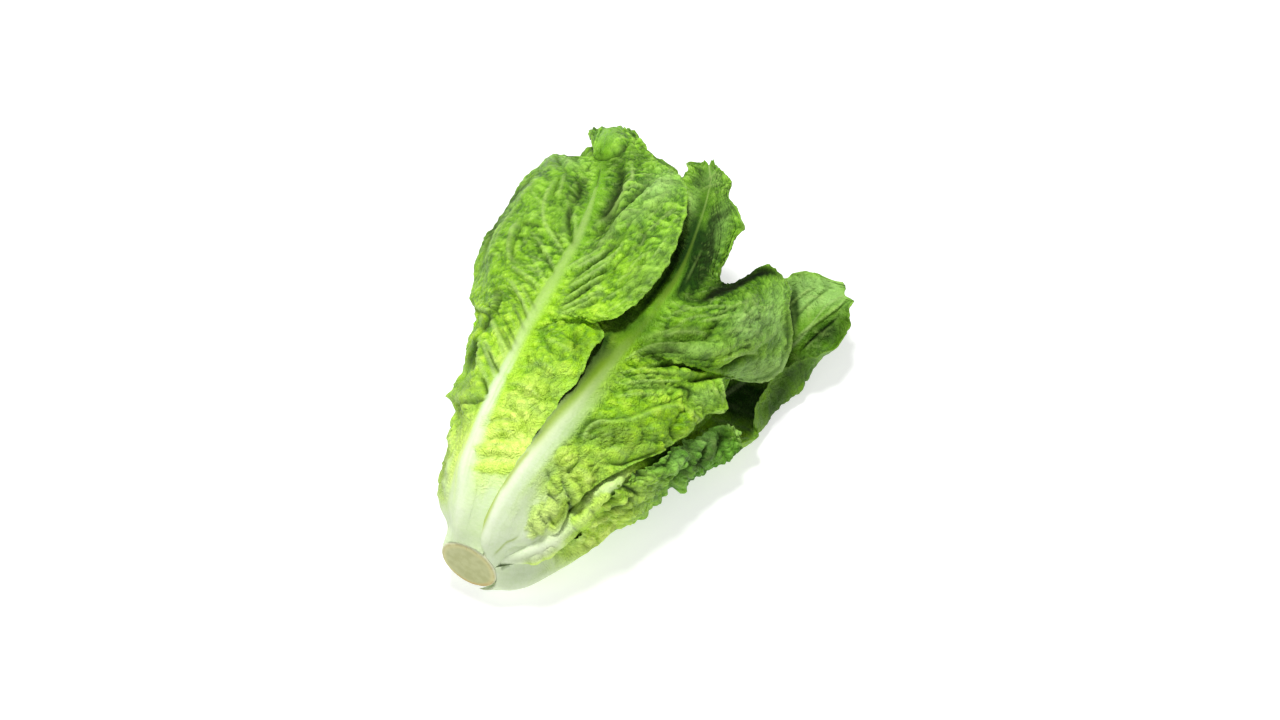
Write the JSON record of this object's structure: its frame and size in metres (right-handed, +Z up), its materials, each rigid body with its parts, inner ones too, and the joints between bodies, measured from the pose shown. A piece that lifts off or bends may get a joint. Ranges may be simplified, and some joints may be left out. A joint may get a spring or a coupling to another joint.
{
  "type": "romaine lettuce head",
  "caption": "Head of romaine lettuce lying on its side, cut stem at one end, long upright leaves round a pale heart with some outer leaves fallen open.",
  "frame": {"origin": "middle of the bottom of the bounding box, on the surface that the head lies on", "axes": "+X along the head from the cut stem to the leaf tips, +Y to the far side, +Z up"},
  "size_m": [0.2792, 0.2, 0.1015],
  "materials": {
    "outer_leaf": "matte to satin green leaf, pale white-green midrib and veins, yellow-green and blistered low down",
    "inner_leaf": "matte to satin light green leaf with a pale midrib",
    "heart_leaf": "matte to satin yellow-green heart leaf with a cream midrib",
    "stem_flesh": "matte cut stem, pale tan-green with a brown rim"
  },
  "bodies": {
    "root": {"stem": "stem_flesh", "outer_leaf_01": "outer_leaf", "outer_leaf_02": "outer_leaf", "outer_leaf_03": "outer_leaf", "outer_leaf_04": "outer_leaf", "outer_leaf_05": "outer_leaf", "outer_leaf_06": "outer_leaf", "outer_leaf_07": "outer_leaf", "outer_leaf_08": "outer_leaf", "outer_leaf_09": "outer_leaf", "outer_leaf_10": "outer_leaf", "outer_leaf_11": "outer_leaf", "inner_leaf_12": "inner_leaf", "inner_leaf_13": "inner_leaf", "inner_leaf_14": "inner_leaf", "inner_leaf_15": "inner_leaf", "inner_leaf_16": "inner_leaf", "heart_leaf_17": "heart_leaf", "heart_leaf_18": "heart_leaf", "heart_leaf_19": "heart_leaf", "heart_leaf_20": "heart_leaf", "heart_leaf_21": "heart_leaf"}
  },
  "joints": []
}
